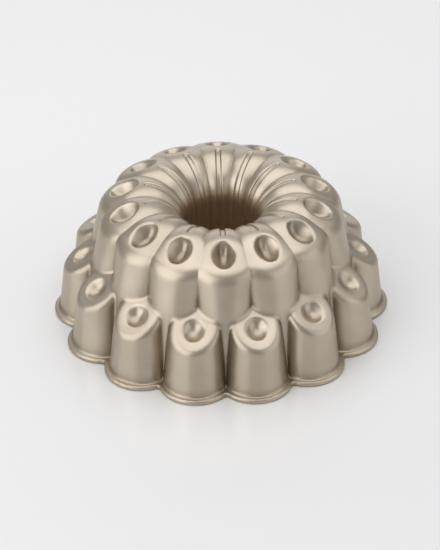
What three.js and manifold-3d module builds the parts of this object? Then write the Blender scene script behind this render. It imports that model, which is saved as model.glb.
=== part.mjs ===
// Fluted tube pan, cast in one piece, standing mouth down on its rim. Millimetres, +Z up, rim plane at z = 0.
// The casting is divided at level planes into five zones: crown, upper tier, lower tier, tube and flange.
import * as THREE from "three";
import { mergeVertices } from "three/addons/utils/BufferGeometryUtils.js";
import Module from "manifold-3d";

const wasm = await Module();
wasm.setup();

// Whole pan
const RIM_DIAMETER = 253;
const HEIGHT = 104.8;
const WALL = 3.2;
const FLUTES = 14;

// Crown of the upper tier: an arc over the crest, then a straight dented face down to the shoulder
const CREST_DIAMETER = 113.6;
const CROWN_RADIUS = 30;
const CROWN_TILT = 29.5;
const SHOULDER_RADIUS = 9;

// Outer wall of the upper tier, measured on the ridge of a flute
const UPPER_FOOT_DIAMETER = 218.6;
const UPPER_DRAFT = 11.5;

// Creases between the upper flutes: a share of the distance from the axis in the tube, one depth on the
// crown, and upright at one distance from the axis on the wall
const TUBE_CREASE_SHARE = 0.045;
const CROWN_CREASE_DEPTH = 2.4;
const WALL_CREASE_DIAMETER = 177;
const CREASE_ROUNDNESS = 0.85;

// Centre tube
const TUBE_DRAFT = 4;
const TUBE_END_HEIGHT = 3;

// Lower flutes: upright cones with a flat, slanted top; its height is measured on the axis of the cone
const LOWER_FOOT_RADIUS = 24.4;
const LOWER_DRAFT = 6.2;
const LOWER_TOP_HEIGHT = 54.8;
const LOWER_TOP_TILT = 33.8;
const LOWER_EDGE_RADIUS = 3;
const LOWER_OUTWARD_TURN = 110;

// Rim flange and the flare that runs into it
const FLANGE_WIDTH = 3.8;
const FLANGE_THICKNESS = 3.8;
const FLARE_RADIUS = 1.6;
const NOTCH_RADIUS = 3;

// Dents: boat-shaped on the upper flutes, round pits on the lower ones; each keel is a share of the outline
const UPPER_DENT = { width: 19.8, length: 24.4, depth: 7.5, keelWidth: 0.25, keelLength: 0.5 };
const UPPER_DENT_DISTANCE = 73.5;
const LOWER_DENT = { width: 16.8, length: 18.8, depth: 6, keelWidth: 0.3, keelLength: 0.3 };
const LOWER_DENT_OFFSET = 5;
const DENT_LEVELS = [-0.25, 1];

// Groove on the ridge of each upper flute, from the crest down the tube
const GROOVE_WIDTH = 4;
const GROOVE_DEPTH = 1.4;
const GROOVE_END_TILT = 2;

// The zones are divided a little above the tops of the lower flutes and a little below the shoulder
const TIER_MARGIN = 1.7;
const CROWN_MARGIN = 4;

// Facets: the most that flattening may move a surface, and the steps per flute
const FACET_TOLERANCE = 0.2;
const CUT_TOLERANCE = 0.05;
const OUTER_STEPS = 6;
const INNER_STEPS = 4;
const LOWER_OUTER_STEPS = 9;
const LOWER_INNER_STEPS = 5;
const LOWER_OUTER_EDGE_STEPS = 2;
const LOWER_INNER_EDGE_STEPS = 1;
const FLARE_STEPS = 2;
const CREST_STEPS = 5;
const CROWN_STEPS = 2;
const SHOULDER_STEPS = 2;
const OUTER_DENT_STEPS = 10;
const INNER_DENT_STEPS = 5;
const ROUND_STEPS = 7;
const NOTCH_STEPS = 2;
const DISC_STEPS = 56;
const EDGE_PASSES = 12;

const PITCH = (2 * Math.PI) / FLUTES;
const LOWER_RING = RIM_DIAMETER / 2 - FLANGE_WIDTH - LOWER_FOOT_RADIUS;
const CREST_RING = CREST_DIAMETER / 2;
const PAST = 2;
const WELD = 1e-4;
const COATING = { color: 0xb8ac99, roughness: 0.38, metalness: 0.85 };

const radians = THREE.MathUtils.degToRad;

// Helpers
function toSolid(geometry) {
  geometry.deleteAttribute("normal");
  geometry.deleteAttribute("uv");
  const welded = mergeVertices(geometry, WELD);
  const vertProperties = new Float32Array(welded.attributes.position.array);
  const triVerts = new Uint32Array(welded.index.array);
  return new wasm.Manifold(new wasm.Mesh({ numProp: 3, vertProperties, triVerts }));
}

function toMesh(name, solid) {
  const { vertProperties, triVerts } = solid.getMesh();
  const geometry = new THREE.BufferGeometry();
  geometry.setAttribute("position", new THREE.BufferAttribute(new Float32Array(vertProperties), 3));
  geometry.setIndex(new THREE.BufferAttribute(new Uint32Array(triVerts), 1));
  geometry.computeVertexNormals();
  const mesh = new THREE.Mesh(geometry, new THREE.MeshStandardMaterial(COATING));
  mesh.name = name;
  return mesh;
}

function joined(solids) {
  return solids.reduce((all, one) => all.add(one));
}

// Closed skin through rows of points; each row goes once round, the ends are closed by fans or to each other.
function skin(rows, ringShaped) {
  const around = rows[0].length;
  const positions = rows.flat().flatMap((p) => [p.x, p.y, p.z]);
  const faces = [];
  const rowPairs = ringShaped ? rows.length : rows.length - 1;
  for (let j = 0; j < rowPairs; j += 1) {
    const low = j * around;
    const high = ((j + 1) % rows.length) * around;
    for (let i = 0; i < around; i += 1) {
      const next = (i + 1) % around;
      faces.push(low + i, low + next, high + next, low + i, high + next, high + i);
    }
  }
  if (!ringShaped) {
    const last = (rows.length - 1) * around;
    for (let i = 1; i < around - 1; i += 1) {
      faces.push(0, i + 1, i, last, last + i, last + i + 1);
    }
  }
  const geometry = new THREE.BufferGeometry();
  geometry.setAttribute("position", new THREE.BufferAttribute(new Float32Array(positions), 3));
  geometry.setIndex(faces);
  return toSolid(geometry);
}

// Turns a solid built for the flute that faces -Y to the place that is `turns` pitches further round.
function turned(solid, turns) {
  return solid.rotate([0, 0, (turns * 360) / FLUTES]);
}

function roundThePan(solid, firstTurn) {
  return joined(Array.from({ length: FLUTES }, (_, k) => turned(solid, firstTurn + k)));
}

// Ridge line of the upper tier in the (r, z) plane, from the tube's foot over the crest to the wall's foot.
// Each point carries its outward normal, so that the inner skin is the same line set back by the wall.
const TUBE_ANGLE = radians(TUBE_DRAFT - 90);
const FACE_ANGLE = radians(CROWN_TILT);
const WALL_ANGLE = radians(90 - UPPER_DRAFT);
const GROOVE_END_ANGLE = radians(GROOVE_END_TILT);
const CROWN_CENTRE = { r: CREST_RING, z: HEIGHT - CROWN_RADIUS };

function arcPoints(centre, radius, from, to, steps) {
  const points = [];
  for (let i = 0; i <= steps; i += 1) {
    const angle = from + ((to - from) * i) / steps;
    const nr = Math.sin(angle);
    const nz = Math.cos(angle);
    points.push({ r: centre.r + radius * nr, z: centre.z + radius * nz, nr, nz });
  }
  return points;
}

// Tube and crest, as far out as the grooves reach
function crestLine() {
  const arc = arcPoints(CROWN_CENTRE, CROWN_RADIUS, TUBE_ANGLE, GROOVE_END_ANGLE, CREST_STEPS);
  const tubeFoot = { ...arc[0], r: arc[0].r - Math.tan(radians(TUBE_DRAFT)) * arc[0].z, z: 0 };
  return [tubeFoot, ...arc];
}

const CREST = crestLine();
const CROWN = arcPoints(CROWN_CENTRE, CROWN_RADIUS, GROOVE_END_ANGLE, FACE_ANGLE, CROWN_STEPS).slice(1);
const FACE_START = CROWN[CROWN.length - 1];

// Height of the crown's straight face on the ridge
function crownFaceHeight(r) {
  return FACE_START.z - Math.tan(FACE_ANGLE) * (r - FACE_START.r);
}

// Shoulder: fillet between the crown's straight face and the outer wall
function ridgeLine() {
  const foot = UPPER_FOOT_DIAMETER / 2;
  const wallSlope = Math.tan(radians(UPPER_DRAFT));
  const cornerZ = crownFaceHeight(foot) / (1 - Math.tan(FACE_ANGLE) * wallSlope);
  const cornerR = foot - wallSlope * cornerZ;
  const reach = SHOULDER_RADIUS * Math.tan((WALL_ANGLE - FACE_ANGLE) / 2);
  const centre = {
    r: cornerR - reach * Math.cos(FACE_ANGLE) - SHOULDER_RADIUS * Math.sin(FACE_ANGLE),
    z: cornerZ + reach * Math.sin(FACE_ANGLE) - SHOULDER_RADIUS * Math.cos(FACE_ANGLE),
  };
  const shoulder = arcPoints(centre, SHOULDER_RADIUS, FACE_ANGLE, WALL_ANGLE, SHOULDER_STEPS);
  const wallFoot = { ...shoulder[shoulder.length - 1], r: foot, z: 0 };
  return [...CREST, ...CROWN, ...shoulder, wallFoot];
}

const RIDGE = ridgeLine();
const WALL_TOP = RIDGE[RIDGE.length - 2];
const WALL_FOOT = RIDGE[RIDGE.length - 1];

// Depth of a crease below the ridge: shallow in the tube and on the crown, deep between the wall's columns
function creaseDepth(point) {
  const onCrown = Math.min(TUBE_CREASE_SHARE * point.r, CROWN_CREASE_DEPTH);
  const onWall = point.r - WALL_CREASE_DIAMETER / 2;
  const blend = THREE.MathUtils.smoothstep(Math.atan2(point.nr, point.nz), FACE_ANGLE, WALL_ANGLE);
  return THREE.MathUtils.lerp(onCrown, onWall, blend);
}

// Share of the crease depth at `side`, 0 on the ridge and 1 in the crease: the flute is round in section
function fluteSection(side) {
  const drop = (share) => 1 - Math.sqrt(1 - (CREASE_ROUNDNESS * share) ** 2);
  return drop(side) / drop(1);
}

// One point of the ridge line carried round the pan, with the flutes rounded down to the creases
function flutedRow(point, setBack, steps, foot) {
  const row = [];
  for (let i = 0; i < FLUTES * steps; i += 1) {
    const side = Math.abs(((2 * (i % steps)) / steps) - 1);
    const sink = setBack + creaseDepth(point) * fluteSection(side);
    const r = point.r - sink * point.nr;
    const z = point.z === 0 ? foot : point.z - sink * point.nz;
    const turn = (i / steps - 0.5) * PITCH;
    row.push(new THREE.Vector3(r * Math.sin(turn), -r * Math.cos(turn), z));
  }
  return row;
}

// Upper tier with the tube
function flutedRing(setBack, steps, foot) {
  const rows = RIDGE.map((point) => flutedRow(point, setBack, steps, foot));
  return skin(rows.reverse(), true);
}

// Top of a lower flute: a flat face that slants outward; `outward` is measured from the flute's axis
const LOWER_TOP_SLOPE = Math.tan(radians(LOWER_TOP_TILT));

function lowerTopHeight(outward) {
  return LOWER_TOP_HEIGHT - LOWER_TOP_SLOPE * outward;
}

function lowerWallRadius(z) {
  return LOWER_FOOT_RADIUS - Math.tan(radians(LOWER_DRAFT)) * z;
}

// Rounded edge between the top and the cone of a lower flute, in one direction from its axis
function lowerFluteLine(turn, edgeSteps) {
  const outward = Math.cos(turn);
  const wallAngle = radians(90 - LOWER_DRAFT);
  let edge = LOWER_FOOT_RADIUS;
  for (let pass = 0; pass < EDGE_PASSES; pass += 1) {
    edge = lowerWallRadius(lowerTopHeight(edge * outward));
  }
  const topAngle = Math.atan(LOWER_TOP_SLOPE * outward);
  const reach = LOWER_EDGE_RADIUS * Math.tan((wallAngle - topAngle) / 2);
  const centre = {
    r: edge - reach * Math.cos(topAngle) - LOWER_EDGE_RADIUS * Math.sin(topAngle),
    z: lowerTopHeight(edge * outward) + reach * Math.sin(topAngle) - LOWER_EDGE_RADIUS * Math.cos(topAngle),
  };
  return arcPoints(centre, LOWER_EDGE_RADIUS, topAngle, wallAngle, edgeSteps);
}

// Hollow flare from the cone down to the top of the flange
function flareLine() {
  const line = [];
  for (let i = 0; i <= FLARE_STEPS; i += 1) {
    const angle = (i / FLARE_STEPS) * (Math.PI / 2);
    const z = FLANGE_THICKNESS + FLARE_RADIUS * (1 - Math.sin(angle));
    line.push({ r: lowerWallRadius(z) + FLARE_RADIUS * (1 - Math.cos(angle)), z });
  }
  return line;
}

// Directions of a flute's sections: close together on its outward side, one more at its back inside the tier
function lowerFluteTurns(steps) {
  const turns = [];
  for (let i = 0; i <= steps; i += 1) {
    turns.push(radians(LOWER_OUTWARD_TURN) * ((2 * i) / steps - 1));
  }
  turns.push(Math.PI);
  return turns;
}

// One lower flute, for the flute that faces -Y; `setBack` 0 is the outer skin with its flare
function lowerFlute(setBack, steps) {
  const edgeSteps = setBack > 0 ? LOWER_INNER_EDGE_STEPS : LOWER_OUTER_EDGE_STEPS;
  const feet = setBack > 0 ? [{ r: lowerWallRadius(0) - setBack, z: -PAST }] : flareLine();
  const lines = lowerFluteTurns(steps).map((turn) => {
    const sunk = (p) => ({ r: p.r - setBack * p.nr, z: p.z - setBack * p.nz });
    const upper = lowerFluteLine(turn, edgeSteps).map(sunk);
    const place = ({ r, z }) => new THREE.Vector3(r * Math.sin(turn), -LOWER_RING - r * Math.cos(turn), z);
    return [...upper, ...feet].map(place);
  });
  const rows = lines[0].map((_, j) => lines.map((line) => line[j]));
  return skin(rows.reverse(), false);
}

// A dent: rows shrink from its outline on the face to a narrow keel; `grow` makes the inner skin follow it
function dent(shape, distance, height, tilt, grow) {
  const steps = grow > 0 ? INNER_DENT_STEPS : OUTER_DENT_STEPS;
  const place = new THREE.Matrix4().makeTranslation(0, -distance, height);
  place.multiply(new THREE.Matrix4().makeRotationX(tilt));
  const rows = DENT_LEVELS.map((level) => {
    const shrink = Math.max(level, 0);
    const halfWidth = (shape.width / 2 + grow) * (1 - shrink * (1 - shape.keelWidth));
    const halfLength = (shape.length / 2 + grow) * (1 - shrink * (1 - shape.keelLength));
    const row = [];
    for (let i = 0; i < steps; i += 1) {
      const turn = (i / steps) * 2 * Math.PI;
      const x = halfWidth * Math.sin(turn);
      const y = -halfLength * Math.cos(turn);
      row.push(new THREE.Vector3(x, y, -level * (shape.depth + grow)).applyMatrix4(place));
    }
    return row;
  });
  return skin(rows.reverse(), false);
}

function upperDents(grow) {
  const height = crownFaceHeight(UPPER_DENT_DISTANCE);
  return roundThePan(dent(UPPER_DENT, UPPER_DENT_DISTANCE, height, FACE_ANGLE, grow), 0);
}

function lowerDents(grow) {
  const distance = LOWER_RING + LOWER_DENT_OFFSET;
  const height = lowerTopHeight(LOWER_DENT_OFFSET);
  return roundThePan(dent(LOWER_DENT, distance, height, radians(LOWER_TOP_TILT), grow), 0.5);
}

// Groove on each ridge: a strip that follows the ridge line from just past the crest down the tube
function grooves() {
  const path = (depth) => CREST.map((p) => new THREE.Vector2(p.r - depth * p.nr, p.z - depth * p.nz));
  const shape = new THREE.Shape([...path(GROOVE_DEPTH), ...path(-GROOVE_DEPTH).reverse()]);
  const geometry = new THREE.ExtrudeGeometry(shape, { depth: GROOVE_WIDTH, bevelEnabled: false });
  geometry.translate(0, 0, -GROOVE_WIDTH / 2);
  geometry.rotateX(Math.PI / 2);
  geometry.rotateZ(-Math.PI / 2);
  return roundThePan(toSolid(geometry), 0);
}

// Outline of the flange: one round arc per lower flute and a small hollow arc in each notch
function lobedOutline() {
  const lobe = LOWER_FOOT_RADIUS + FLANGE_WIDTH;
  const half = PITCH / 2;
  const across = LOWER_RING * Math.sin(half);
  const open = Math.asin(across / (lobe + NOTCH_RADIUS));
  const notchRing = LOWER_RING * Math.cos(half) + (lobe + NOTCH_RADIUS) * Math.cos(open);
  const sweep = open + half;
  const points = [];
  for (let k = 0; k < FLUTES; k += 1) {
    const lobeTurn = (k + 0.5) * PITCH - Math.PI / 2;
    const notchTurn = lobeTurn + half;
    const inward = notchTurn + Math.PI;
    const lobeX = LOWER_RING * Math.cos(lobeTurn);
    const lobeY = LOWER_RING * Math.sin(lobeTurn);
    const notchX = notchRing * Math.cos(notchTurn);
    const notchY = notchRing * Math.sin(notchTurn);
    const round = new THREE.EllipseCurve(lobeX, lobeY, lobe, lobe, lobeTurn - sweep, lobeTurn + sweep, false);
    const notch = NOTCH_RADIUS;
    const hollow = new THREE.EllipseCurve(notchX, notchY, notch, notch, inward + open, inward - open, true);
    points.push(...round.getPoints(ROUND_STEPS).slice(0, -1));
    points.push(...hollow.getPoints(NOTCH_STEPS).slice(0, -1));
  }
  return points;
}

// Rim flange: it goes round the foot of the lower flutes, and in the notches round the foot of the upper ones
function flange() {
  const plan = (points) => new wasm.CrossSection([points.map((p) => [p.x, p.y])]);
  const upperFoot = plan(flutedRow(WALL_FOOT, -FLANGE_WIDTH, OUTER_STEPS, 0));
  const hole = wasm.CrossSection.circle(CREST_RING, DISC_STEPS);
  return plan(lobedOutline()).add(upperFoot).subtract(hole).extrude(FLANGE_THICKNESS);
}

// Outer skin of the two tiers and the tube, with the dents and grooves
function outerForm() {
  const lower = roundThePan(lowerFlute(0, LOWER_OUTER_STEPS), 0.5);
  const tiers = flutedRing(0, OUTER_STEPS, 0).add(lower);
  const cut = tiers.simplify(FACET_TOLERANCE).subtract(upperDents(0)).subtract(lowerDents(0));
  return cut.subtract(grooves()).simplify(CUT_TOLERANCE);
}

// Space inside the pan: the same form set back by the wall, open below the rim plane
function innerForm() {
  const lower = roundThePan(lowerFlute(WALL, LOWER_INNER_STEPS), 0.5);
  const tiers = flutedRing(WALL, INNER_STEPS, -PAST).add(lower);
  const cut = tiers.simplify(FACET_TOLERANCE).subtract(upperDents(WALL)).subtract(lowerDents(WALL));
  return cut.simplify(CUT_TOLERANCE);
}

// Zones
function disc(radius, low, high) {
  const geometry = new THREE.CylinderGeometry(radius, radius, high - low, DISC_STEPS);
  geometry.rotateX(Math.PI / 2);
  geometry.translate(0, 0, (low + high) / 2);
  return toSolid(geometry);
}

const INNER = innerForm();
const CASTING = outerForm().subtract(INNER);
const TIER_PLANE = lowerTopHeight(WALL_CREASE_DIAMETER / 2 - LOWER_RING) + TIER_MARGIN;
const CROWN_PLANE = WALL_TOP.z - CROWN_MARGIN;
const TUBE_SPACE = disc(CREST_RING, -PAST, CROWN_PLANE + PAST);

function zone(low, high) {
  return CASTING.intersect(disc(RIM_DIAMETER, low, high));
}

const pan = new THREE.Group();
pan.name = "fluted_tube_pan";
pan.add(toMesh("crown", zone(CROWN_PLANE, HEIGHT + PAST)));
pan.add(toMesh("upper_tier", zone(TIER_PLANE, CROWN_PLANE).subtract(TUBE_SPACE)));
pan.add(toMesh("lower_tier", zone(FLANGE_THICKNESS, TIER_PLANE).subtract(TUBE_SPACE)));
pan.add(toMesh("centre_tube", zone(TUBE_END_HEIGHT, CROWN_PLANE).intersect(TUBE_SPACE)));
pan.add(toMesh("rim_flange", flange().subtract(INNER)));
export default pan;
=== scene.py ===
import math

import bmesh
import bpy
import numpy as np
from mathutils import Matrix, Vector
from mathutils.geometry import tessellate_polygon


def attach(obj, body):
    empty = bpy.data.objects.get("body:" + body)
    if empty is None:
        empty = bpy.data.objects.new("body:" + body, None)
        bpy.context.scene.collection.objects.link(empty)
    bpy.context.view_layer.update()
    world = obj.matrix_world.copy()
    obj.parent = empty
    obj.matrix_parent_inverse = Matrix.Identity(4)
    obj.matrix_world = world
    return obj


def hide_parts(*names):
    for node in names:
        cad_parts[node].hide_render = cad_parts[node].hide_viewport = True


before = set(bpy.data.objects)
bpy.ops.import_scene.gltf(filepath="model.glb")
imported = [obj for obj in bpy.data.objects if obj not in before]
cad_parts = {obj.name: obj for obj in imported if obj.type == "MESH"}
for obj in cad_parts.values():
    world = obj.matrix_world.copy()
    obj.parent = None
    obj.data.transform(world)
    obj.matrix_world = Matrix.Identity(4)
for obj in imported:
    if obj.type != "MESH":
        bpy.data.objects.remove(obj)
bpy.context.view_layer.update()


# Upper row of flutes
# Fourteen rounded columns of the casting stand side by side. Each has a flat slanted face on top, which
# folds over the crest and runs down into the tube; creases part the columns all the way.
FLUTES = 14
HALF_PITCH = math.pi / FLUTES
CREST_CENTRE = (56.8, 74.75)
CREST_RADIUS = 30.0
TUBE_NORMAL = math.radians(-86.0)
FACE_NORMAL = math.radians(29.5)
TUBE_CREASE_SHARE = 0.045
CROWN_CREASE = 2.6
CROWN_ROUNDNESS = 0.85
CREASE_SOFTNESS = 0.02
RIDGE_FOOT = 105.0
RIDGE_DRAFT = math.radians(6.2)
RIDGE_LEAN_FOOT = 111.6
RIDGE_LEAN = math.radians(12.9)
RIDGE_BLEND = 1.5
CREASE_FOOT = 93.2
CREASE_DRAFT = math.radians(4.2)
UPPER_CREASE_BLEND = 0.25
SHOULDER_BLEND = 5.2
SIDE_NUDGE = 0.01
LEAST_SPAN = 1.0


def soft_min(a, b, blend):
    share = np.maximum(blend - np.abs(a - b), 0.0) / blend
    return np.minimum(a, b) - share * share * blend / 4.0


def soft_max(a, b, blend):
    return -soft_min(-a, -b, blend)


def crest_line(out, z):
    """Distance from the tube, crest and face in the plane of a ridge, and the direction of the surface."""
    past, up = out - CREST_CENTRE[0], z - CREST_CENTRE[1]
    angle = np.arctan2(past, up)
    on_tube = math.sin(TUBE_NORMAL) * past + math.cos(TUBE_NORMAL) * up
    on_face = math.sin(FACE_NORMAL) * past + math.cos(FACE_NORMAL) * up
    is_round = (angle > TUBE_NORMAL) & (angle < FACE_NORMAL)
    distance = np.where(is_round, np.hypot(past, up), np.maximum(on_tube, on_face)) - CREST_RADIUS
    return distance, np.where(is_round, angle, np.where(on_tube > on_face, TUBE_NORMAL, FACE_NORMAL))


def crease_section(side):
    away = np.sqrt((1.0 - side) ** 2 + CREASE_SOFTNESS**2) - CREASE_SOFTNESS
    return 1.0 - np.sqrt(1.0 - (CROWN_ROUNDNESS * (1.0 - away)) ** 2)


def crown_face(turn, r, z):
    """The tops of the columns: level across the ridge, rolled down into the crease."""
    side = turn / HALF_PITCH
    out = r * np.cos(turn)
    line, normal = crest_line(out, z)
    whole = crease_section(1.0) - crease_section(0.0)
    depth = np.minimum(TUBE_CREASE_SHARE * (out - line * np.sin(normal)), CROWN_CREASE) / whole
    slope = depth * (crease_section(side + SIDE_NUDGE) - crease_section(side - SIDE_NUDGE))
    slope = slope / (2.0 * SIDE_NUDGE)
    steepness = slope / np.maximum(r * HALF_PITCH, LEAST_SPAN)
    sunk = depth * (crease_section(side) - crease_section(0.0))
    return (line + sunk) / np.sqrt(1.0 + steepness**2)


def column(turn, r, z):
    """A round column through its ridge and the creases beside it. It leans in more above the lower row."""
    plumb_r = RIDGE_FOOT - math.tan(RIDGE_DRAFT) * z
    ridge_r = soft_min(plumb_r, RIDGE_LEAN_FOOT - math.tan(RIDGE_LEAN) * z, RIDGE_BLEND)
    crease_r = CREASE_FOOT - math.tan(CREASE_DRAFT) * z
    ring = (ridge_r**2 - crease_r**2) / (2.0 * (ridge_r - crease_r * math.cos(HALF_PITCH)))
    wide = np.hypot(np.maximum(r * np.cos(turn) - ring, 0.0), r * np.sin(turn))
    return (wide - ridge_r + ring) * math.cos(RIDGE_LEAN)


def upper_row(turn, r, z):
    columns = soft_min(column(turn, r, z), column(2.0 * HALF_PITCH - turn, r, z), UPPER_CREASE_BLEND)
    return soft_max(crown_face(turn, r, z), columns, SHOULDER_BLEND)


# Lower row of flutes
# Fourteen wider flutes of the same casting, each an upright cone with a flat, slanted top.
# They stand half a pitch round from the upper row and run into its wall with a small fillet.
LOWER_RING = 98.3
LOWER_FOOT = 24.4
LOWER_DRAFT = math.radians(6.2)
LOWER_TOP = 54.8
LOWER_TILT = math.radians(33.8)
LOWER_EDGE_BLEND = 2.4
LOWER_EAR_BLEND = 5.4
TIER_BLEND = 1.6


def lower_height(out):
    return LOWER_TOP - math.tan(LOWER_TILT) * out


def lower_flute(turn, r, z):
    """A cone under a slanted plane. The edge between them is rounder towards the wall behind it."""
    out = r * np.cos(turn - HALF_PITCH) - LOWER_RING
    across = r * np.sin(turn - HALF_PITCH)
    around = np.hypot(out, across)
    wall = (around - LOWER_FOOT + math.tan(LOWER_DRAFT) * z) * math.cos(LOWER_DRAFT)
    top = (z - lower_height(out)) * math.cos(LOWER_TILT)
    to_ear = np.clip(1.0 - out / np.maximum(around, LEAST_SPAN), 0.0, 1.0)
    return soft_max(wall, top, LOWER_EDGE_BLEND + (LOWER_EAR_BLEND - LOWER_EDGE_BLEND) * to_ear)


def lower_row(turn, r, z):
    return soft_min(lower_flute(turn, r, z), lower_flute(-turn, r, z), TIER_BLEND)


# Dents and grooves
# The mould forms a dent in the slanted top of each flute: a deep boat with a narrow keel in the upper row,
# a shallower one with a rounded bottom in the lower. It also forms the groove that runs on each upper ridge
# from the crest down the tube.
UPPER_DENT = {"width": 19.8, "length": 24.4, "depth": 9.2, "keel": 0.2, "blend": 0.15}
UPPER_DENT_R = 73.5
LOWER_DENT = {"width": 16.8, "length": 18.8, "depth": 4.5, "keel": 0.3, "blend": 0.3}
LOWER_DENT_OUT = 5.0
BEAM_POWER = 0.62
DENT_MARGIN = 0.12
DENT_RIM_BLEND = 1.1
GROOVE_DEPTH = 1.4
GROOVE_EDGE = (1.3, 2.4)
GROOVE_END_R = 56.0


def smooth_step(low, high, value):
    share = np.clip((value - low) / (high - low), 0.0, 1.0)
    return share * share * (3.0 - 2.0 * share)


def face_height(out):
    start_r = CREST_CENTRE[0] + CREST_RADIUS * math.sin(FACE_NORMAL)
    start_z = CREST_CENTRE[1] + CREST_RADIUS * math.cos(FACE_NORMAL)
    return start_z - math.tan(FACE_NORMAL) * (out - start_r)


def boat(along, across, keel, blend):
    """Share of the depth: straight sides down to a level keel, which curves up at both ends."""
    beam = np.maximum(1.0 - along**2, 0.0) ** BEAM_POWER
    return (beam - soft_max(np.abs(across), keel, blend)) / (1.0 - keel)


def dent(out, across, z, place, tilt, size):
    uphill = (z - place[1]) * math.sin(tilt) - (out - place[0]) * math.cos(tilt)
    level = (z - place[1]) * math.cos(tilt) + (out - place[0]) * math.sin(tilt)
    along, aside = 2.0 * uphill / size["length"], 2.0 * across / size["width"]
    steepness = 2.0 * size["depth"] / size["width"] / (1.0 - size["keel"])
    sunk = size["depth"] * boat(along, aside, size["keel"], size["blend"])
    hollow = (level + sunk) / math.sqrt(1.0 + steepness**2)
    return np.minimum(hollow, (1.0 + DENT_MARGIN - np.hypot(along, aside)) * size["width"] / 2.0)


def rows(turn, r, z, grooved):
    """Both rows of flutes before they are dented."""
    upper = upper_row(turn, r, z)
    if grooved:
        apart = np.hypot(np.maximum(r - GROOVE_END_R, 0.0), r * np.sin(turn))
        upper = upper + GROOVE_DEPTH * (1.0 - smooth_step(*GROOVE_EDGE, apart))
    return soft_min(upper, lower_row(turn, r, z), TIER_BLEND)


def tiers(turn, r, z, grooved):
    body = rows(turn, r, z, grooved)
    upper_place = (UPPER_DENT_R, face_height(UPPER_DENT_R))
    lower_place = (LOWER_RING + LOWER_DENT_OUT, lower_height(LOWER_DENT_OUT))
    aside = turn - HALF_PITCH
    on_upper = dent(r * np.cos(turn), r * np.sin(turn), z, upper_place, FACE_NORMAL, UPPER_DENT)
    on_lower = dent(r * np.cos(aside), r * np.sin(aside), z, lower_place, LOWER_TILT, LOWER_DENT)
    return soft_max(soft_max(body, on_upper, DENT_RIM_BLEND), on_lower, DENT_RIM_BLEND)


# Rim flange
# A flat scalloped edge of the casting, one round lobe under each lower flute, with a hollow flare up into
# the cone and a small hollow in each notch. The pan stands on its underside.
FLANGE_LOBE = 27.8
FLANGE_THICKNESS = 3.8
FLANGE_EDGE_BLEND = 1.2
FLARE_BLEND = 1.8
NOTCH_BLEND = 3.6


def flange(turn, r, z):
    lobes = []
    for aside in (turn - HALF_PITCH, turn + HALF_PITCH):
        lobes.append(np.hypot(r * np.cos(aside) - LOWER_RING, r * np.sin(aside)) - FLANGE_LOBE)
    return soft_max(soft_min(*lobes, NOTCH_BLEND), z - FLANGE_THICKNESS, FLANGE_EDGE_BLEND)


# Wall of the casting
# The inside follows the outside at the thickness of the wall, so the dents show there as bumps. The wall
# ends at the rim plane, and the tube a little above it.
WALL = 3.2
RIM_BLEND = 0.8
TUBE_END = 3.0
TUBE_SIDE_R = 45.0


def casting(turn, r, z):
    """Distance from the skin of the whole pan, below nought inside the metal."""
    turn = np.abs((turn + HALF_PITCH) % (2.0 * HALF_PITCH) - HALF_PITCH)
    outside = soft_min(tiers(turn, r, z, True), flange(turn, r, z), FLARE_BLEND)
    inside = tiers(turn, r, z, False) + WALL
    below = np.where(r < TUBE_SIDE_R, TUBE_END, 0.0) - z
    return soft_max(soft_max(outside, -inside, RIM_BLEND), below, RIM_BLEND)


# Half a flute as a mesh
# Each piece is drawn as the half flute between a ridge and the next crease, as a skin of quads on the
# surface of the casting; its cut faces are flat and closed. The quads crowd at the ridge and the crease.
CROWDING = 0.45
PROJECT_PASSES = 4
RELAX_PASSES = 6
RELAX_SHARE = 0.5
LONGEST_STEP = 0.6
SHORTEST_STEP = 1e-9
LEAST_STEEP = 0.05
GRADIENT_NUDGE = 0.04
# Reaches and weights of the painted shade that darkens the coating in dents, valleys and creases.
HOLLOW_REACH = 8.0
VALLEY_SHARE = 0.5
DENT_FULL = 2.5
CREASE_REACH = 2.0
CREASE_WEIGHT = 1.6
MM = 0.001


def cylinder(points):
    return np.arctan2(points[:, 0], -points[:, 1]), np.hypot(points[:, 0], points[:, 1]), points[:, 2]


def gradient(points):
    sides = []
    for axis in range(3):
        nudge = np.zeros(3)
        nudge[axis] = GRADIENT_NUDGE
        rise = casting(*cylinder(points + nudge)) - casting(*cylinder(points - nudge))
        sides.append(rise / (2.0 * GRADIENT_NUDGE))
    return np.stack(sides, axis=1)


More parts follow.
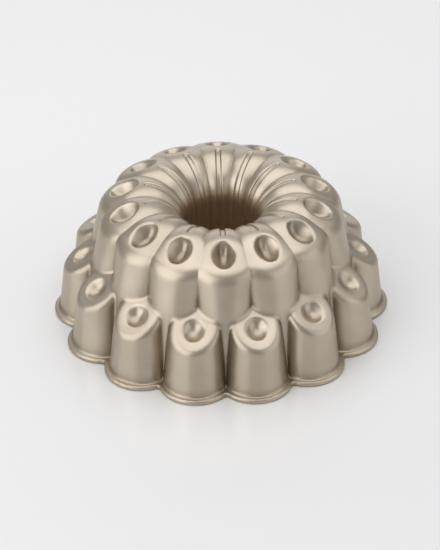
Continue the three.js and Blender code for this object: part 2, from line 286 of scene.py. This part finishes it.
def cell_skin(turns, radii, heights, planes):
    """Quads through the cells that the surface crosses. `planes` are the heights of flat cuts."""
    folded = heights.copy()
    if planes[0] is not None:
        folded = planes[0] + np.abs(folded - planes[0])
    if planes[1] is not None:
        folded = planes[1] - np.abs(folded - planes[1])
    value = casting(*np.meshgrid(turns, radii, folded, indexing="ij"))
    corners = [(i, j, k) for i in (0, 1) for j in (0, 1) for k in (0, 1)]
    shape = [n - 1 for n in value.shape]

    def corner(field, at):
        return field[at[0] : at[0] + shape[0], at[1] : at[1] + shape[1], at[2] : at[2] + shape[2]]

    total = np.zeros(shape + [3])
    count = np.zeros(shape)
    spots = np.stack(np.meshgrid(turns, radii, heights, indexing="ij"), axis=-1)
    for first in corners:
        for axis in range(3):
            if first[axis]:
                continue
            last = tuple(c + (n == axis) for n, c in enumerate(first))
            a, b = corner(value, first), corner(value, last)
            crossed = (a < 0.0) != (b < 0.0)
            share = np.where(crossed, a / np.where(crossed, a - b, 1.0), 0.0)[..., None]
            spot = corner(spots, first) * (1.0 - share) + corner(spots, last) * share
            total += np.where(crossed[..., None], spot, 0.0)
            count += crossed
    used = count > 0
    number = np.full(shape, -1)
    number[used] = np.arange(used.sum())
    mean = total[used] / count[used][:, None]
    quads = []
    for axis in range(3):
        others = [n for n in range(3) if n != axis]
        low = [slice(None)] * 3
        high = [slice(None)] * 3
        low[axis], high[axis] = slice(0, -1), slice(1, None)
        for n in others:
            low[n] = high[n] = slice(1, -1)
        crossed = (value[tuple(low)] < 0.0) != (value[tuple(high)] < 0.0)
        around = []
        for step in ((0, 0), (1, 0), (1, 1), (0, 1)):
            part = [slice(None)] * 3
            for n, s in zip(others, step):
                part[n] = slice(s, shape[n] - 1 + s)
            around.append(number[tuple(part)][crossed])
        quads.append(np.stack(around, axis=1))
    points = np.stack(
        [mean[:, 1] * np.sin(mean[:, 0]), -mean[:, 1] * np.cos(mean[:, 0]), mean[:, 2]], axis=1
    )
    return points, np.concatenate(quads), np.argwhere(used)


def quad_edges(quads):
    return np.concatenate([quads[:, [n, (n + 1) % 4]] for n in range(4)])


def held_in_place(points, holds, planes):
    """Puts the points at the borders of the half flute back on the ridge, the crease and the cuts."""
    points[holds["ridge"], 0] = 0.0
    along = np.array([math.sin(HALF_PITCH), -math.cos(HALF_PITCH)])
    points[holds["crease"], :2] = np.outer(points[holds["crease"], :2] @ along, along)
    if planes[0] is not None:
        points[holds["low"], 2] = planes[0]
    if planes[1] is not None:
        points[holds["high"], 2] = planes[1]
    return points


def settled(points, quads, holds, planes):
    """Moves the points onto the surface and spreads them evenly along it."""
    marks = sum(held.astype(int) << n for n, held in enumerate(holds.values()))
    edges = quad_edges(quads)
    edges = np.concatenate([edges, edges[:, ::-1]])
    edges = edges[(marks[edges[:, 0]] & ~marks[edges[:, 1]]) == 0]
    edges = np.concatenate([edges, np.repeat(np.arange(len(points))[:, None], 2, axis=1)])
    beside = np.bincount(edges[:, 0], minlength=len(points))[:, None]
    for lap in range(RELAX_PASSES + PROJECT_PASSES):
        slope = gradient(points)
        steep = np.maximum((slope * slope).sum(axis=1), LEAST_STEEP)
        step = -slope * (casting(*cylinder(points)) / steep)[:, None]
        size = np.maximum(np.linalg.norm(step, axis=1), SHORTEST_STEP)[:, None]
        points = points + step * np.minimum(1.0, LONGEST_STEP / size)
        points = held_in_place(points, holds, planes)
        if lap < RELAX_PASSES:
            middle = np.zeros_like(points)
            np.add.at(middle, edges[:, 0], points[edges[:, 1]])
            normal = slope / np.sqrt(steep)[:, None]
            pull = middle / beside - points
            pull = pull - normal * (pull * normal).sum(axis=1)[:, None]
            points = held_in_place(points + RELAX_SHARE * pull, holds, planes)
    return points


def chains(quads, chosen, starts):
    """Rows of chosen points along the open border of the skin, each from one of the starts."""
    edges, uses = np.unique(np.sort(quad_edges(quads), axis=1), axis=0, return_counts=True)
    edges = edges[(uses == 1) & chosen[edges].all(axis=1)]
    beside = {}
    for a, b in edges:
        beside.setdefault(a, []).append(b)
        beside.setdefault(b, []).append(a)
    found = []
    for start in starts:
        if start not in beside:
            continue
        chain, seen = [start], {start}
        while True:
            nexts = [n for n in beside[chain[-1]] if n not in seen]
            if not nexts:
                break
            chain.append(nexts[0])
            seen.add(nexts[0])
        found.append(chain)
    return found


def cut_faces(points, quads, holds, planes):
    """Triangles that close the wall at its flat cuts, between its inner and its outer border."""
    faces = []
    for plane, chosen, up in ((planes[0], holds["low"], -1.0), (planes[1], holds["high"], 1.0)):
        if plane is None:
            continue
        found = chains(quads, chosen, [int(n) for n in np.flatnonzero(chosen & holds["ridge"])])
        found.sort(key=lambda chain: np.hypot(*points[chain[0], :2]))
        for inner, outer in zip(found[::2], found[1::2]):
            loop = [int(n) for n in inner + outer[::-1]]
            for face in tessellate_polygon([[Vector((*points[n, :2], 0.0)) for n in loop]]):
                face = [loop[n] for n in face]
                a, b, c = (points[n, :2] for n in face)
                turned = (b[0] - a[0]) * (c[1] - a[1]) - (b[1] - a[1]) * (c[0] - a[0])
                faces.append(tuple(face if turned * up > 0.0 else face[::-1]))
    return faces


def painted_shade_depth(points, normal):
    """Painted shade: how far each point lies in a dent, a valley or a crease, from nought to 1."""
    in_dent = np.clip(-rows(*cylinder(points), True) / DENT_FULL, 0.0, 1.0)
    in_hollow = 1.0 - casting(*cylinder(points + HOLLOW_REACH * normal)) / HOLLOW_REACH
    in_hollow = in_hollow * (VALLEY_SHARE + (1.0 - VALLEY_SHARE) * in_dent)
    in_crease = 1.0 - casting(*cylinder(points + CREASE_REACH * normal)) / CREASE_REACH
    return np.clip(np.maximum(in_hollow, CREASE_WEIGHT * in_crease), 0.0, 1.0)


def half_flute(name, columns, radii, heights, planes):
    """Mesh of half a flute between two heights; `planes` are flat cuts, or None where the wall ends."""
    share = (np.arange(columns + 2) - 0.5) / columns
    turns = HALF_PITCH * (share - CROWDING * np.sin(2.0 * math.pi * share) / (2.0 * math.pi))
    points, quads, cells = cell_skin(turns, radii, heights, planes)
    holds = {
        "ridge": cells[:, 0] == 0,
        "crease": cells[:, 0] == columns,
        "low": (cells[:, 2] == 0) & (planes[0] is not None),
        "high": (cells[:, 2] == len(heights) - 2) & (planes[1] is not None),
    }
    points = settled(points, quads, holds, planes)
    slope = gradient(points)
    normal = slope / np.linalg.norm(slope, axis=1)[:, None]
    sides = points[quads[:, 2]] - points[quads[:, 0]], points[quads[:, 3]] - points[quads[:, 1]]
    inward = (np.cross(*sides) * normal[quads].sum(axis=1)).sum(axis=1) < 0.0
    quads[inward] = quads[inward][:, ::-1]
    faces = [tuple(int(n) for n in quad) for quad in quads]
    mesh = bpy.data.meshes.new(name)
    mesh.from_pydata((points * MM).tolist(), [], faces + cut_faces(points, quads, holds, planes))
    # Painted shade for the coating, stored on the points: darker in dents, valleys and creases.
    painted_shade = mesh.attributes.new("painted_shade", "FLOAT", "POINT")
    painted_shade.data.foreach_set("value", painted_shade_depth(points, normal).astype(np.float32))
    return mesh


# Coating
# A satin metallic release coating, champagne in colour, sprayed on the bare casting and baked. Its colour
# is darkened as painted shade in the dents, valleys and creases, where it is also rougher; it is browner
# inside the tube and has the fine grain of sprayed metal flake.
# Sizes here are in metres, as the pieces are.
COATING_LIGHT = (0.492, 0.426, 0.334, 1.0)
# Painted shade: the darker colour that the coating takes in dents, valleys and creases.
COATING_PAINTED_SHADE = (0.215, 0.17, 0.113, 1.0)
COATING_TUBE = (0.58, 0.455, 0.295, 1.0)
TUBE_TINT_R = (0.0305, 0.0262)
COATING_METAL = 0.92
COATING_ROUGHNESS = (0.33, 0.41)
PAINTED_SHADE_WEIGHT = 0.95
CLOUD_SCALE = 34.0
CLOUD_DETAIL = 5.0
CLOUD_RANGE = (0.35, 0.65)
CLOUD_WEIGHT = 0.2
FLAKE_SCALE = 2600.0
FLAKE_DETAIL = 2.0
FLAKE_HEIGHT = 0.00002
FLAKE_STRENGTH = 0.25
MIX_FIRST, MIX_SECOND, MIX_RESULT = 6, 7, 2


def set_inputs(tree, node, inputs):
    """Sets each input to a value, or joins it to a socket or to each of a list of sockets."""
    for name, given in inputs.items():
        for value in given if isinstance(given, list) else [given]:
            if isinstance(value, bpy.types.NodeSocket):
                tree.links.new(value, node.inputs[name])
            else:
                node.inputs[name].default_value = value


def add_node(tree, kind, inputs, **settings):
    node = tree.nodes.new(kind)
    for name, value in settings.items():
        setattr(node, name, value)
    set_inputs(tree, node, inputs)
    return node


def coating_material():
    material = bpy.data.materials.new("champagne_coating")
    material.use_nodes = True
    tree = material.node_tree
    place = add_node(tree, "ShaderNodeTexCoord", {}).outputs["Object"]

    cloud_size = {"Vector": place, "Scale": CLOUD_SCALE, "Detail": CLOUD_DETAIL}
    cloud = add_node(tree, "ShaderNodeTexNoise", cloud_size).outputs["Fac"]
    cloud_share = {"From Min": CLOUD_RANGE[0], "From Max": CLOUD_RANGE[1], "To Max": CLOUD_WEIGHT}
    cloudy = add_node(tree, "ShaderNodeMapRange", {"Value": cloud, **cloud_share}).outputs["Result"]
    # Painted shade from the mesh, with random cloudy tone, darkens the colour and roughens the finish.
    painted_shade = add_node(tree, "ShaderNodeAttribute", {}, attribute_name="painted_shade").outputs["Fac"]
    shade_and_cloud_terms = {0: painted_shade, 1: PAINTED_SHADE_WEIGHT, 2: cloudy}
    painted_shade_and_cloud = add_node(tree, "ShaderNodeMath", shade_and_cloud_terms, operation="MULTIPLY_ADD").outputs["Value"]
    shades = {"Factor": painted_shade_and_cloud, MIX_FIRST: COATING_LIGHT, MIX_SECOND: COATING_PAINTED_SHADE}
    colour = add_node(tree, "ShaderNodeMix", shades, data_type="RGBA").outputs[MIX_RESULT]

    flat = add_node(tree, "ShaderNodeVectorMath", {0: place, 1: (1.0, 1.0, 0.0)}, operation="MULTIPLY")
    radius = add_node(tree, "ShaderNodeVectorMath", {0: flat.outputs["Vector"]}, operation="LENGTH")
    tint = {"Value": radius.outputs["Value"], "From Min": TUBE_TINT_R[0], "From Max": TUBE_TINT_R[1]}
    in_tube = add_node(tree, "ShaderNodeMapRange", tint).outputs["Result"]
    shades = {"Factor": in_tube, MIX_FIRST: colour, MIX_SECOND: COATING_TUBE}
    warmed = add_node(tree, "ShaderNodeMix", shades, data_type="RGBA").outputs[MIX_RESULT]

    dulling = {"Value": painted_shade_and_cloud, "To Min": COATING_ROUGHNESS[0], "To Max": COATING_ROUGHNESS[1]}
    rough = add_node(tree, "ShaderNodeMapRange", dulling).outputs["Result"]
    flake_size = {"Vector": place, "Scale": FLAKE_SCALE, "Detail": FLAKE_DETAIL}
    flake = add_node(tree, "ShaderNodeTexNoise", flake_size).outputs["Fac"]
    bumps = {"Height": flake, "Strength": FLAKE_STRENGTH, "Distance": FLAKE_HEIGHT}
    grain = add_node(tree, "ShaderNodeBump", bumps).outputs["Normal"]
    finish = {"Base Color": warmed, "Metallic": COATING_METAL, "Roughness": rough, "Normal": grain}
    set_inputs(tree, tree.nodes["Principled BSDF"], finish)
    return material


coating = coating_material()


# Round of flutes
# The pan has the same flute all round, so a node tree mirrors the half flute at its ridge, sets the whole
# flute round the axis once per pitch and welds the copies at the creases, which are kept sharp.
WELD = 0.00001
SHARP_FROM = math.radians(62.0)
CREASE_FROM = math.radians(16.0)


def round_of_flutes():
    tree = bpy.data.node_groups.new("round_of_flutes", "GeometryNodeTree")
    kinds = {"Half flute": "Geometry", "Flutes": "Int", "Weld": "Float", "Coating": "Material"}
    for name, kind in kinds.items():
        tree.interface.new_socket(name, in_out="INPUT", socket_type="NodeSocket" + kind)
    tree.interface.new_socket("Pan", in_out="OUTPUT", socket_type="NodeSocketGeometry")
    given = add_node(tree, "NodeGroupInput", {}).outputs
    half = given["Half flute"]
    mirror = add_node(tree, "GeometryNodeTransform", {"Geometry": half, "Scale": (-1.0, 1.0, 1.0)})
    flip = add_node(tree, "GeometryNodeFlipFaces", {"Mesh": mirror.outputs["Geometry"]})
    whole = add_node(tree, "GeometryNodeJoinGeometry", {"Geometry": [half, flip.outputs["Mesh"]]})
    spots = add_node(tree, "GeometryNodePoints", {"Count": given["Flutes"]})
    index = add_node(tree, "GeometryNodeInputIndex", {}).outputs["Index"]
    shares = {0: 2.0 * math.pi, 1: given["Flutes"]}
    pitch = add_node(tree, "ShaderNodeMath", shares, operation="DIVIDE").outputs["Value"]
    turn = add_node(tree, "ShaderNodeMath", {0: index, 1: pitch}, operation="MULTIPLY")
    angles = add_node(tree, "ShaderNodeCombineXYZ", {"Z": turn.outputs["Value"]})
    rotation = add_node(tree, "FunctionNodeEulerToRotation", {"Euler": angles.outputs["Vector"]})
    ring = {
        "Points": spots.outputs["Points"],
        "Instance": whole.outputs["Geometry"],
        "Rotation": rotation.outputs["Rotation"],
    }
    copies = add_node(tree, "GeometryNodeInstanceOnPoints", ring)
    real = add_node(tree, "GeometryNodeRealizeInstances", {"Geometry": copies.outputs["Instances"]})
    joint = {"Geometry": real.outputs["Geometry"], "Distance": given["Weld"]}
    weld = add_node(tree, "GeometryNodeMergeByDistance", joint)
    finish = {"Geometry": weld.outputs["Geometry"], "Material": given["Coating"]}
    paint = add_node(tree, "GeometryNodeSetMaterial", finish)
    add_node(tree, "NodeGroupOutput", {"Pan": paint.outputs["Geometry"]})
    return tree


flute_tree = round_of_flutes()


def crease_offset(spot):
    """Nought where a point lies in the plane of a crease."""
    turn = math.atan2(spot.x, -spot.y)
    return spot.xy.length * math.sin((turn / HALF_PITCH - 1.0) / 2.0 * math.pi)


def all_round(name, half):
    source = bpy.data.objects.new(name + "_half", half)
    bpy.context.scene.collection.objects.link(source)
    modifier = source.modifiers.new("flutes", "NODES")
    modifier.node_group = flute_tree
    values = {"Flutes": FLUTES, "Weld": WELD, "Coating": coating}
    for item in flute_tree.interface.items_tree:
        if item.name in values:
            modifier[item.identifier] = values[item.name]
    evaluated = source.evaluated_get(bpy.context.evaluated_depsgraph_get())
    mesh = bpy.data.meshes.new_from_object(evaluated)
    mesh.name = name
    bpy.data.objects.remove(source)
    bpy.data.meshes.remove(half)
    mesh.polygons.foreach_set("use_smooth", [True] * len(mesh.polygons))
    mesh.set_sharp_from_angle(angle=SHARP_FROM)
    shape = bmesh.new()
    shape.from_mesh(mesh)
    for edge in shape.edges:
        if all(abs(crease_offset(vertex.co)) < WELD for vertex in edge.verts):
            edge.smooth = edge.smooth and edge.calc_face_angle(0.0) < CREASE_FROM
    shape.to_mesh(mesh)
    shape.free()
    piece = bpy.data.objects.new(name, mesh)
    bpy.context.scene.collection.objects.link(piece)
    return piece


# Crown
# The top of the pan: the dented faces of the upper flutes, the crest and the mouth of the tube. It is
# aluminium of one pour with the rest, and the cut under it is only where this piece ends.
CROWN_PLANE = 81.9
CROWN_STEP = 1.1
CROWN_LEVELS = 26
CROWN_COLUMNS = 15
CROWN_R = (22.0, 98.0)


def levels(plane, step, count):
    """Heights from half a step before a plane, so that the first cells lie on it."""
    return plane + step * (np.arange(count) - 0.5)


def radii_between(low, high, step):
    return np.arange(low, high + step, step)


crown_levels = levels(CROWN_PLANE, CROWN_STEP, CROWN_LEVELS)
crown_radii = radii_between(*CROWN_R, CROWN_STEP)
half_crown = half_flute("crown", CROWN_COLUMNS, crown_radii, crown_levels, (CROWN_PLANE, None))
crown = all_round("crown_casting", half_crown)
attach(crown, "root")
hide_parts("crown")


# Upper wall
# The plain columns of the upper flutes, a wall of cast aluminium between the crown and the tops of the
# lower flutes. Nothing fixes it, because it runs on in the same pour above and below.
TIER_PLANE = 63.06
UPPER_ROWS = 18
UPPER_COLUMNS = 20
UPPER_R = (75.0, 100.0)
upper_step = (CROWN_PLANE - TIER_PLANE) / UPPER_ROWS
upper_levels = levels(TIER_PLANE, upper_step, UPPER_ROWS + 2)
upper_radii = radii_between(*UPPER_R, upper_step)
half_upper = half_flute("upper", UPPER_COLUMNS, upper_radii, upper_levels, (TIER_PLANE, CROWN_PLANE))
upper = all_round("upper_wall", half_upper)
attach(upper, "root")
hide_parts("upper_tier")


# Lower flutes
# The lower row of flutes with its dents, cast aluminium in one with the wall above. The piece ends at the
# top of the flare, where the rim begins.
RIM_PLANE = 6.0
LOWER_ROWS = 46
LOWER_COLUMNS = 18
LOWER_R = (75.0, 126.0)
lower_step = (TIER_PLANE - RIM_PLANE) / LOWER_ROWS
lower_levels = levels(RIM_PLANE, lower_step, LOWER_ROWS + 2)
lower_radii = radii_between(*LOWER_R, lower_step)
half_lower = half_flute("lower", LOWER_COLUMNS, lower_radii, lower_levels, (RIM_PLANE, TIER_PLANE))
lower = all_round("lower_flutes", half_lower)
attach(lower, "root")
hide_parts("lower_tier")


# Rim
# The flare at the foot of the lower flutes and the scalloped flange that the pan stands on. It is the open
# edge of the casting, of the same aluminium and flat underneath.
RIM_STEP = 1.0
RIM_LEVELS = 9
RIM_COLUMNS = 22
RIM_R = (75.0, 129.0)
rim_levels = levels(RIM_PLANE, -RIM_STEP, RIM_LEVELS)[::-1]
rim_radii = radii_between(*RIM_R, RIM_STEP)
half_rim = half_flute("rim", RIM_COLUMNS, rim_radii, rim_levels, (None, RIM_PLANE))
rim = all_round("rim_casting", half_rim)
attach(rim, "root")
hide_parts("rim_flange")


# Centre tube
# The fluted wall of the open tube below its mouth, through which heat reaches the middle of the cake. It
# is cast in one with the crown, hangs from it and ends a little above the rim plane.
TUBE_STEP = 1.5
TUBE_LEVELS = 55
TUBE_COLUMNS = 12
TUBE_R = (17.0, 40.0)
tube_levels = levels(CROWN_PLANE, -TUBE_STEP, TUBE_LEVELS)[::-1]
tube_radii = radii_between(*TUBE_R, TUBE_STEP)
half_tube = half_flute("tube", TUBE_COLUMNS, tube_radii, tube_levels, (None, CROWN_PLANE))
tube = all_round("tube_wall", half_tube)
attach(tube, "root")
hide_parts("centre_tube")


# Floor
# A plain pale floor with a satin sheen, which keeps the soft shadow of the pan. It isn't part of the pan,
# and only the even grey of the world lies beyond it.
FLOOR_SIZE = 6.0
FLOOR_COLOUR = (0.68, 0.67, 0.655, 1.0)
FLOOR_ROUGHNESS = 0.22
FLOOR_IOR = 1.8
WORLD_COLOUR = (0.43, 0.43, 0.43, 1.0)


def floor_material():
    material = bpy.data.materials.new("pale_floor")
    material.use_nodes = True
    tree = material.node_tree
    finish = {"Base Color": FLOOR_COLOUR, "Roughness": FLOOR_ROUGHNESS, "IOR": FLOOR_IOR}
    set_inputs(tree, tree.nodes["Principled BSDF"], finish)
    return material


bpy.ops.mesh.primitive_plane_add(size=FLOOR_SIZE)
floor = bpy.context.object
floor.name = "floor"
floor.data.materials.append(floor_material())

world = bpy.data.worlds.new("studio")
world.use_nodes = True
world.node_tree.nodes["Background"].inputs["Color"].default_value = WORLD_COLOUR
bpy.context.scene.world = world


# Lamps
# Soft studio panels: a large one above, a strong one at the front left, weaker ones on the right, low and
# high, and one behind. The camera doesn't see them.
LAMP_COLOUR = (1.0, 1.015, 1.06)
PAN_MIDDLE = (0.0, 0.0, 0.1)
LAMPS = (
    ("panel_above", (-0.16, 0.1, 1.35), (-0.16, 0.1, 0.05), (2.0, 1.8), 16.1),
    ("panel_left", (-1.106, -0.774, 0.62), PAN_MIDDLE, (1.7, 1.3), 12.8),
    ("panel_right", (1.19, -0.634, 0.5), PAN_MIDDLE, (1.6, 1.0), 4.0),
    ("panel_high_right", (0.98, 0.2, 1.02), PAN_MIDDLE, (1.0, 0.9), 1.4),
    ("panel_back", (0.0, 1.6, 0.6), PAN_MIDDLE, (1.4, 1.0), 3.0),
)
for name, spot, aim, (wide, tall), power in LAMPS:
    data = bpy.data.lights.new(name, "AREA")
    data.shape = "RECTANGLE"
    data.size, data.size_y = wide, tall
    data.energy = power
    data.color = LAMP_COLOUR
    lamp = bpy.data.objects.new(name, data)
    lamp.location = spot
    lamp.visible_camera = False
    lamp.rotation_euler = (Vector(aim) - Vector(spot)).to_track_quat("-Z", "Y").to_euler()
    bpy.context.scene.collection.objects.link(lamp)


# Camera
# A long lens at the height and turn of the photograph, rolled a little as the photograph is. Its lens and
# aim frame the pan as the photograph does.
CAMERA_DISTANCE = 2.5
CAMERA_HEIGHT_ANGLE = math.radians(36.145)
CAMERA_TURN = math.radians(-1.65)
CAMERA_ROLL = math.radians(-0.447)
CAMERA_AIM = (-0.00072, 0.01371, 0.01877)
CAMERA_LENS = 215.17
CAMERA_REACH = 20.0
turn_back = Matrix.Rotation(CAMERA_TURN, 3, "Z")
level = CAMERA_DISTANCE * math.cos(CAMERA_HEIGHT_ANGLE)
eye = turn_back @ Vector((0.0, -level, CAMERA_DISTANCE * math.sin(CAMERA_HEIGHT_ANGLE)))
ahead = (turn_back @ Vector(CAMERA_AIM) - eye).normalized()
right = ahead.cross(Vector((0.0, 0.0, 1.0))).normalized()
above = right.cross(ahead)
rolled_right = math.cos(CAMERA_ROLL) * right + math.sin(CAMERA_ROLL) * above
rolled_above = math.cos(CAMERA_ROLL) * above - math.sin(CAMERA_ROLL) * right
camera_data = bpy.data.cameras.new("photo_camera")
camera_data.lens = CAMERA_LENS
camera_data.clip_end = CAMERA_REACH
camera = bpy.data.objects.new("photo_camera", camera_data)
looking = Matrix((rolled_right, rolled_above, -ahead)).transposed()
camera.matrix_world = Matrix.Translation(eye) @ looking.to_4x4()
bpy.context.scene.collection.objects.link(camera)
bpy.context.scene.camera = camera
bpy.context.scene.view_settings.view_transform = "Standard"
